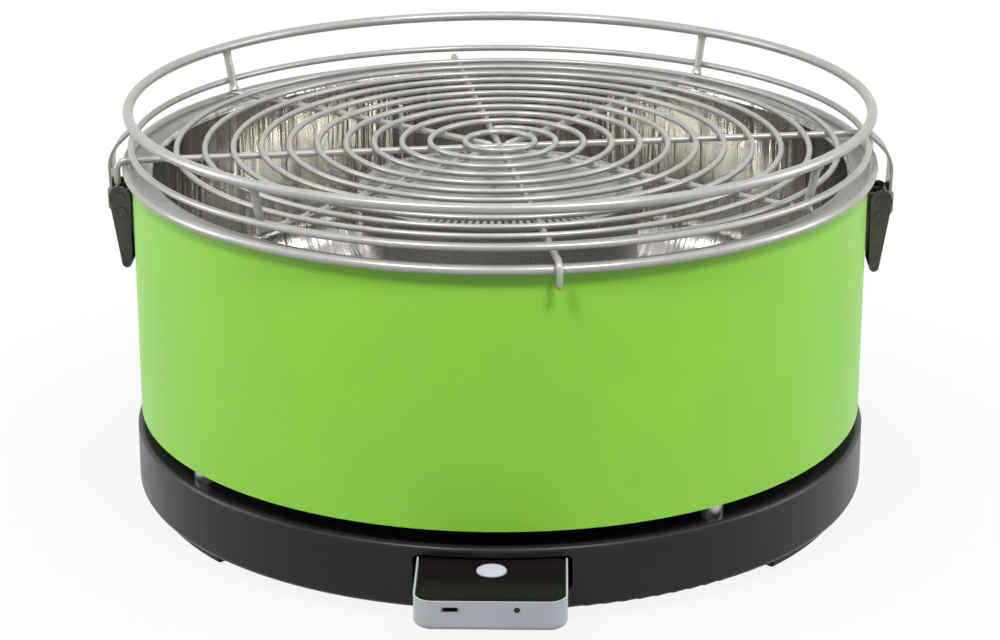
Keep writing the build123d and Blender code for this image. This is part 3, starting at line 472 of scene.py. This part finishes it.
def tube(points, normal, wire, closed=False, sides=16, flare=None):
    """Corners and faces of a round wire along points in a plane with this normal.

    A flare is a list with one share of the wire's thickness for each point. An open wire without a flare
    has rounded ends.
    """
    up = Vector(normal).normalized()
    path = [Vector(p) for p in points]
    count = len(path)
    rings = []
    for k, point in enumerate(path):
        before = path[k - 1] if closed or k else path[0]
        after = path[(k + 1) % count] if closed or k < count - 1 else path[-1]
        along = (after - before).normalized()
        rings.append((point, along, wire * (flare[k] if flare else 1)))
    if not closed and not flare:
        # Rings of a rounded tip: the way along it and what is left of the thickness, as shares of the wire
        tips = [(0.35, 0.94), (0.7, 0.71), (0.9, 0.44)]
        tip_end = tips[-1][0]
        start, ahead = rings[0][:2]
        first = [(start - ahead * wire * (t - tip_end), ahead, wire * s) for t, s in reversed(tips)]
        end, onward = rings[-1][:2]
        last = [(end + onward * wire * (t - tip_end), onward, wire * s) for t, s in tips]
        rings = first + rings[1:-1] + last
    corners = []
    for point, along, radius in rings:
        side = along.cross(up)
        for s in range(sides):
            turn = 2 * math.pi * s / sides
            corners.append(point + (up * math.cos(turn) + side * math.sin(turn)) * radius)
    faces = []
    spans = len(rings) if closed else len(rings) - 1
    for k in range(spans):
        here, there = k * sides, (k + 1) % len(rings) * sides
        for s in range(sides):
            n = (s + 1) % sides
            faces.append((here + s, here + n, there + n, there + s))
    if not closed:
        faces.append(tuple(range(sides))[::-1])
        faces.append(tuple(range((len(rings) - 1) * sides, len(rings) * sides)))
    return corners, faces


def joined(parts):
    """One list of corners and faces from several."""
    corners, faces = [], []
    for more_corners, more_faces in parts:
        faces += [tuple(c + len(corners) for c in face) for face in more_faces]
        corners += list(more_corners)
    return corners, faces


def ring_points(radius, height):
    """Points round a level circle."""
    turns = [2 * math.pi * k / round_segments for k in range(round_segments)]
    return [(radius * math.cos(t), radius * math.sin(t), height) for t in turns]


# Bowl: the pressed sheet with its collar and floor, and the rolled bead round its rim
drum_low, drum_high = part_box("drum")
bowl_low, bowl_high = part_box("bowl")
drum_radius = drum_high.x
bead_radius = bowl_high.x - bead_wire
bead_middle = bowl_high.z - bead_wire
flange_middle = drum_high.z + sheet / 2
floor_middle = bowl_low.z + sheet / 2
wall_radius = drum_radius - bowl_gap
wall_start = floor_middle + bowl_bend
wall_rise = flange_middle - rim_bend - wall_start
floor_width = wall_radius - collar_radius
collar_top = floor_middle + sheet / 2 + collar_height

bowl_line = [(collar_radius, collar_top), (collar_radius, collar_top - collar_height / 3)]
bowl_line += arc((collar_radius + collar_bend, floor_middle + collar_bend), collar_bend, 180, 270, 8)
bowl_line += [(collar_radius + floor_width * k / 8, floor_middle) for k in range(1, 7)]
bowl_line += arc((wall_radius - bowl_bend, wall_start), bowl_bend, -90, 0, 24)
bowl_line += [(wall_radius, wall_start + wall_rise * k / 6) for k in range(1, 6)]
bowl_line += arc((wall_radius + rim_bend, flange_middle - rim_bend), rim_bend, 180, 90, 8)
bowl_line += [(bead_radius - bead_wire / 2, flange_middle)]
corners, faces = lathe(thicken(bowl_line, sheet / 2))
bowl_sheet = make_piece("bowl_sheet", corners, faces, "housing", "bowl_steel", ["bowl"])
flange_steel = metal_finish(
    "flange_steel", (0.25, 0.245, 0.228), roughness=0.35, swing=0.06, metallic=0.5
)
# Faint painted reflection streaks in the bowl floor's colour
floor_steel = spun_finish(
    "bowl_floor_steel", (0.52, 0.51, 0.475), roughness=0.22, streaks=9, swing=0.12, ripple=0.15
)
bowl_sheet.data.materials.append(flange_steel)
bowl_sheet.data.materials.append(floor_steel)
for face in bowl_sheet.data.polygons:
    reach = math.hypot(*face.center[:2])
    if reach > wall_radius + rim_bend / 3:
        face.material_index = 1
    elif reach < wall_radius - bowl_bend:
        face.material_index = 2
corners, faces = tube(ring_points(bead_radius, bead_middle), (0, 0, 1), bead_wire, closed=True, sides=24)
make_piece("bowl_bead", corners, faces, "housing", "wire_steel", ["bowl"])


# Wire grate: its three rings

def ring_wire_of(node):
    """Radius, height and wire of a ring in the frame."""
    low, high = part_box(node)
    wire = (high.z - low.z) / 2
    return high.x - wire, (low.z + high.z) / 2, wire


for node, piece_name in (
    ("grate_centre_ring", "centre_ring_wire"),
    ("grate_outer_ring", "outer_ring_wire"),
    ("guard_ring", "guard_ring_wire"),
):
    radius, height, wire = ring_wire_of(node)
    corners, faces = tube(ring_points(radius, height), (0, 0, 1), wire, closed=True, sides=20)
    make_piece(piece_name, corners, faces, "grate", "wire_steel", [node])


# Rods with hooked ends, and the diagonal rods between them

def outward_at(steps):
    """Level direction this many spoke steps on from the grate's own x."""
    turn = grate_turn + steps * spoke_step
    return Vector((math.cos(turn), math.sin(turn), 0))


upward = Vector((0, 0, 1))
diagonals = [outward_at(steps) for steps in (1, 3, 5, 7)]
spokes_low, spokes_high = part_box("grate_spokes")
rod_middle = spokes_high.z - rod_wire
outer_radius, outer_height, outer_wire = ring_wire_of("grate_outer_ring")
guard_radius, guard_height, guard_wire = ring_wire_of("guard_ring")
post_side = outer_wire + post_wire - weld_sink
post_flare, post_rise = guard_radius - outer_radius, guard_height - outer_height
post_lean = math.asin(post_side / math.hypot(post_flare, post_rise))
post_tilt = math.atan2(post_flare, post_rise) + post_lean
post_bottom = rod_middle + rod_wire - weld_sink
post_foot_radius = guard_radius - (guard_height - post_bottom) * math.tan(post_tilt)
hook_radius = bead_radius + bead_wire + hook_gap + rod_wire
hook_bottom = rod_middle - hook_bend - hook_length
rods = []
for outward in (outward_at(0), outward_at(2)):
    bend = arc((hook_radius - hook_bend, rod_middle - hook_bend), hook_bend, 0, 90, 10)
    half = [(hook_radius, hook_bottom), (hook_radius, hook_bottom + hook_length / 2)] + bend
    half += [(hook_radius * k / 12, rod_middle) for k in range(11, 0, -1)]
    line = half + [(0, rod_middle)] + [(-r, z) for r, z in reversed(half)]
    points = [outward * r + upward * z for r, z in line]
    rods.append(tube(points, outward.cross(upward), rod_wire))
spoke_start = spoke_gap * rod_wire / math.sin(spoke_step)
spoke_length = post_foot_radius + post_wire + rod_overhang - spoke_start
for outward in diagonals:
    radii = [spoke_start + spoke_length * k / 12 for k in range(13)]
    points = [outward * r + upward * rod_middle for r in radii]
    rods.append(tube(points, upward, rod_wire))
corners, faces = joined(rods)
make_piece("grate_rods", corners, faces, "grate", "wire_steel", ["grate_spokes", "grate_hooks"])

# Posts that lean from the diagonal rods past the outer ring to the guard ring, thicker at their welds
posts = []
for outward in diagonals:
    start = outward * post_foot_radius + upward * post_bottom
    head = outward * guard_radius + upward * guard_height
    end = head - (head - start).normalized() * guard_wire * post_end_share
    span = (end - start).length
    shares = [k / 16 for k in range(17)]
    reach = [min(s, 1 - s) * span / flare_length for s in shares]
    flare = [1 + flare_share * max(0, 1 - r) ** 2 for r in reach]
    points = [start.lerp(end, s) for s in shares]
    posts.append(tube(points, outward.cross(upward), post_wire, flare=flare))
corners, faces = joined(posts)
make_piece("post_wires", corners, faces, "grate", "wire_steel", ["guard_posts"])


# Spiral, and the welds under it and beside the outer ring

def spiral_arcs():
    """Half circles of the spiral, growing clockwise: centre along the grate's x, radius, start and sweep."""
    half_step, shift = spiral_pitch / 2, spiral_pitch / 4
    first = math.pi / 2 + math.asin(shift / spiral_start)
    last_radius = spiral_start + (spiral_half_turns + 1) * half_step
    last_sweep = math.pi - spoke_step + spiral_overhang / last_radius
    arcs = [(shift, spiral_start, first, first)]
    for half_turn in range(1, spiral_half_turns + 2):
        lower = half_turn % 2 == 1
        arcs.append((
            -shift if lower else shift,
            spiral_start + half_turn * half_step,
            0 if lower else math.pi,
            math.pi if half_turn <= spiral_half_turns else last_sweep,
        ))
    return arcs


def turned(x, y, height):
    """A point given in the grate's own directions."""
    c, s = math.cos(grate_turn), math.sin(grate_turn)
    return Vector((x * c - y * s, x * s + y * c, height))


def spiral_points(height):
    """Points along the spiral at this height."""
    points = []
    for centre, radius, start, sweep in spiral_arcs():
        steps = spiral_least_steps + round(radius * sweep / spiral_chord)
        turns = [start - sweep * k / steps for k in range(steps + 1)]
        half_circle = [turned(centre + radius * math.cos(t), radius * math.sin(t), height) for t in turns]
        points = points[:-1] + half_circle
    return points


def weld_points(height):
    """Places where the spiral crosses the spokes."""
    places = []
    for centre, radius, start, sweep in spiral_arcs():
        for step in range(8):
            turn = step * spoke_step
            reach = centre * math.cos(turn) + math.sqrt(radius**2 - (centre * math.sin(turn))**2)
            x, y = reach * math.cos(turn), reach * math.sin(turn)
            passed = (start - math.atan2(y, x - centre) + angle_slack) % (2 * math.pi)
            if passed < sweep:
                places.append(turned(x, y, height))
    return places


def blob(place, size, around=10, rows=5):
    """Corners and faces of a small flattened bead."""
    corners = [place + Vector((0, 0, -size[2])), place + Vector((0, 0, size[2]))]
    for row in range(1, rows):
        tilt = math.pi * row / rows - math.pi / 2
        for k in range(around):
            turn = 2 * math.pi * k / around
            x = size[0] * math.cos(tilt) * math.cos(turn)
            y = size[1] * math.cos(tilt) * math.sin(turn)
            corners.append(place + Vector((x, y, size[2] * math.sin(tilt))))
    faces = []
    last = 2 + (rows - 2) * around
    for k in range(around):
        n = (k + 1) % around
        faces.append((0, 2 + n, 2 + k))
        faces.append((1, last + k, last + n))
        for row in range(rows - 2):
            here = 2 + row * around
            faces.append((here + k, here + n, here + around + n, here + around + k))
    return corners, faces


spiral_low, spiral_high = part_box("grate_spiral")
spiral_wire = (spiral_high.z - spiral_low.z) / 2
spiral_line = spiral_points((spiral_low.z + spiral_high.z) / 2)
corners, faces = tube(spiral_line, upward, spiral_wire, sides=14)
make_piece("spiral_wire", corners, faces, "grate", "wire_steel", ["grate_spiral"])
weld_height = (rod_middle + rod_wire + spiral_low.z) / 2
welds = [blob(place, weld_size) for place in weld_points(weld_height)]
for outward in diagonals:
    beside = outward * (outer_radius - outer_wire) + upward * outer_height
    welds.append(blob(beside, ring_weld_size))
corners, faces = joined(welds)
make_piece("weld_beads", corners, faces, "grate", "wire_steel")

# Basket: wall with holes painted as dark shade, a plain seam plate, a folded rim at both ends and the ledge
# of the fire grid
basket_low, basket_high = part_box("basket_shell")
grid_low, grid_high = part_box("basket_grid")
basket_radius = basket_high.x
basket_inner = basket_radius - sheet
ledge_inner = basket_inner - ledge_width
ledge_bottom = grid_low.z - sheet
wall_bottom, wall_top = basket_low.z + basket_rim, basket_high.z - basket_rim
finishes["mesh_steel"] = punched_finish(
    "mesh_steel", (0.4, 0.385, 0.35), roughness=0.4, radius=basket_radius, columns=basket_holes
)
outline = [(basket_radius, basket_low.z), (basket_radius, wall_bottom)]
outline += [(basket_radius - sheet / 5, z) for z in (wall_bottom, ledge_bottom, grid_high.z, wall_top)]
outline += [(basket_radius, wall_top), (basket_radius, basket_high.z)]
outline += [(basket_inner, basket_high.z), (basket_inner, grid_low.z), (ledge_inner, grid_low.z)]
outline += [(ledge_inner, ledge_bottom), (basket_inner, ledge_bottom), (basket_inner, basket_low.z)]
corners, faces = lathe(outline)
wall = make_piece("basket_wall", corners, faces, "housing", "sheet_steel", ["basket_shell"])
wall.data.materials.append(finishes["mesh_steel"])
for face in wall.data.polygons:
    turn = math.atan2(face.center.y, face.center.x) % (2 * math.pi)
    outside = math.hypot(*face.center[:2]) > basket_inner
    # Faces in the hole band take the finish with painted hole shade
    painted_holes = wall_bottom < face.center.z < wall_top and outside
    if painted_holes and not seam_start < turn < seam_end:
        face.material_index = 1


# Power pack: cover with softly rounded edges, and the tongue in the charging port

def rounded_loop(low, high, corner, inset, height, corner_steps=10, side_steps=12):
    """Points round a level rectangle with round corners, drawn in by an inset."""
    radius = max(corner - inset, least_corner)
    half = ((high.x - low.x) / 2 - inset - radius, (high.y - low.y) / 2 - inset - radius)
    centre = ((high.x + low.x) / 2, (high.y + low.y) / 2)
    signs = ((1, 1), (-1, 1), (-1, -1), (1, -1))

    def corner_point(quarter, turn):
        """A point on the round corner of this quarter."""
        x_sign, y_sign = signs[quarter % 4]
        x = centre[0] + x_sign * half[0] + radius * math.cos(turn)
        y = centre[1] + y_sign * half[1] + radius * math.sin(turn)
        return Vector((x, y, height))

    points = []
    for quarter in range(4):
        turns = [math.pi / 2 * (quarter + k / corner_steps) for k in range(corner_steps + 1)]
        points += [corner_point(quarter, turn) for turn in turns]
        ahead = corner_point(quarter + 1, math.pi / 2 * (quarter + 1))
        points += [points[-1].lerp(ahead, k / side_steps) for k in range(1, side_steps)]
    return points


def skin(loops, closed=True):
    """Corners and faces over loops of as many points each; closed joins the last loop to the first."""
    count = len(loops[0])
    corners = [point for loop in loops for point in loop]
    faces = []
    for k in range(len(loops) if closed else len(loops) - 1):
        here, there = k * count, (k + 1) % len(loops) * count
        for s in range(count):
            n = (s + 1) % count
            faces.append((here + s, here + n, there + n, there + s))
    return corners, faces


cover_low, cover_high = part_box("module_cover")
button_low, button_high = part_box("power_button")
button_middle = (button_low + button_high) / 2
loops = [rounded_loop(cover_low, cover_high, pack_corner, 0, cover_low.z)]
pillow_rise = cover_high.z - cover_low.z - pillow_step
for k in range(pillow_rows + 1):
    turn = math.pi / 2 * k / pillow_rows
    inset = pillow_width * (1 - math.cos(turn))
    height = cover_low.z + pillow_step + pillow_rise * math.sin(turn)
    loops.append(rounded_loop(cover_low, cover_high, pack_corner, inset, height))
edge = loops[-1]
hole = []
for point in edge:
    aim = Vector((point.x - button_middle.x, point.y - button_middle.y, 0)).normalized()
    hole.append(Vector((button_middle.x, button_middle.y, cover_high.z)) + aim * button_hole)
for k in range(1, cover_rows + 1):
    loops.append([a.lerp(b, k / cover_rows) for a, b in zip(edge, hole)])
loops.append([Vector((p.x, p.y, cover_low.z)) for p in hole])
corners, faces = skin(loops)
make_piece("cover_gloss", corners, faces, "power_module", "pack_gloss", ["module_cover"], sharp=60)

port_low, port_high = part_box("usb_port")
flat_low = Vector((port_low.x + tongue_side, port_low.z + tongue_gap, 0))
flat_high = Vector((port_high.x - tongue_side, port_high.z - tongue_gap, 0))
nose = port_low.y + tongue_front
tongue = []
for inset, y in [(inset, nose + depth) for inset, depth in tongue_nose] + [(0, port_high.y - tongue_back)]:
    loop = rounded_loop(flat_low, flat_high, tongue_corner, inset, 0, corner_steps=4, side_steps=4)
    tongue.append([Vector((p.x, y, p.y)) for p in loop])
corners, faces = skin(tongue, closed=False)
count = len(tongue[0])
faces += [tuple(range(count))[::-1], tuple(range(len(corners) - count, len(corners)))]
make_piece("port_tongue", corners, faces, "power_module", "fan_plastic")

# Latch plates: soft edges that catch the light
for side in ("right", "left"):
    for node in ("lever", "strap", "bracket"):
        piece = frame["nodes"][f"{side}_{node}"]
        weld = piece.modifiers.new("weld", "WELD")
        weld.merge_threshold = merge_reach
        bevel = piece.modifiers.new("bevel", "BEVEL")
        bevel.width = edge_bevel
        bevel.segments = 2
        bevel.limit_method = "ANGLE"
        bevel.angle_limit = edge_angle


# Stage: floor, light and camera

def seen_rays(tree):
    """1 for rays that show the background: camera, glossy and transmission rays."""
    path = tree.nodes.new("ShaderNodeLightPath").outputs
    first = math_node(tree, "MAXIMUM", path["Is Camera Ray"], path["Is Glossy Ray"])
    return math_node(tree, "MAXIMUM", first, path["Is Transmission Ray"])


def make_floor():
    """A pale floor that reads as white round the object and keeps its soft shadow."""
    ends = [(-floor_reach, -floor_reach), (floor_reach, -floor_reach)]
    ends += [(floor_reach, floor_reach), (-floor_reach, floor_reach)]
    mesh = bpy.data.meshes.new("floor")
    mesh.from_pydata([(x, y, 0) for x, y in ends], [], [(0, 1, 2, 3)])
    floor = bpy.data.objects.new("floor", mesh)
    bpy.context.scene.collection.objects.link(floor)
    material, tree, shader = new_finish("floor", (floor_tone, floor_tone, floor_tone), floor_roughness)
    shader.inputs["Specular IOR Level"].default_value = floor_shine
    glow = tree.nodes.new("ShaderNodeEmission")
    place = tree.nodes.new("ShaderNodeTexCoord")
    away = vector_node(tree, "LENGTH", place.outputs["Object"]).outputs["Value"]
    share = spread(tree, away, near_glow, 1.0, near_reach, far_reach)
    mix = tree.nodes.new("ShaderNodeMixShader")
    tree.links.new(math_node(tree, "MULTIPLY", seen_rays(tree), share), mix.inputs[0])
    tree.links.new(shader.outputs[0], mix.inputs[1])
    tree.links.new(glow.outputs[0], mix.inputs[2])
    tree.links.new(mix.outputs[0], tree.nodes["Material Output"].inputs["Surface"])
    mesh.materials.append(material)


def make_world(ambient):
    """White where the background shows, and a plain soft level of light elsewhere."""
    world = bpy.data.worlds.new("studio")
    bpy.context.scene.world = world
    world.use_nodes = True
    tree = world.node_tree
    background = tree.nodes["Background"]
    background.inputs["Color"].default_value = (1, 1, 1, 1)
    tree.links.new(spread(tree, seen_rays(tree), ambient, 1.0, 0, 1), background.inputs["Strength"])


def area_light(name, place, width, height, watts):
    """A soft rectangular lamp that points at the middle of the object."""
    lamp = bpy.data.lights.new(name, "AREA")
    lamp.shape = "RECTANGLE"
    lamp.size, lamp.size_y = width, height
    lamp.energy = watts
    holder = bpy.data.objects.new(name, lamp)
    bpy.context.scene.collection.objects.link(holder)
    holder.location = place
    holder.rotation_euler = (lamp_aim - place).to_track_quat("-Z", "Y").to_euler()


make_floor()
make_world(ambient_level)
lamp_aim = Vector((0, 0, 0.1))
other_side = Vector((-1, 1, 1))
area_light("top_light", Vector((0, 0.1, 1.5)), width=1.2, height=1.2, watts=3)
area_light("left_key", key_place * other_side, width=0.3, height=0.3, watts=17)
area_light("right_key", key_place, width=0.3, height=0.3, watts=17)
area_light("left_light", side_place * other_side, width=0.6, height=1.2, watts=14)
area_light("right_light", side_place, width=0.6, height=1.2, watts=14)

camera = bpy.data.cameras.new("camera")
camera.sensor_width = sensor_width
camera.lens = focal_pixels / photo_width * sensor_width
camera.clip_start = 0.05
holder = bpy.data.objects.new("camera", camera)
bpy.context.scene.collection.objects.link(holder)
back = Vector((
    math.sin(camera_azimuth) * math.cos(camera_elevation),
    -math.cos(camera_azimuth) * math.cos(camera_elevation),
    math.sin(camera_elevation),
))
holder.location = camera_target + back * camera_distance
holder.rotation_euler = (-back).to_track_quat("-Z", "Y").to_euler()
bpy.context.scene.camera = holder
bpy.context.scene.view_settings.view_transform = "Standard"
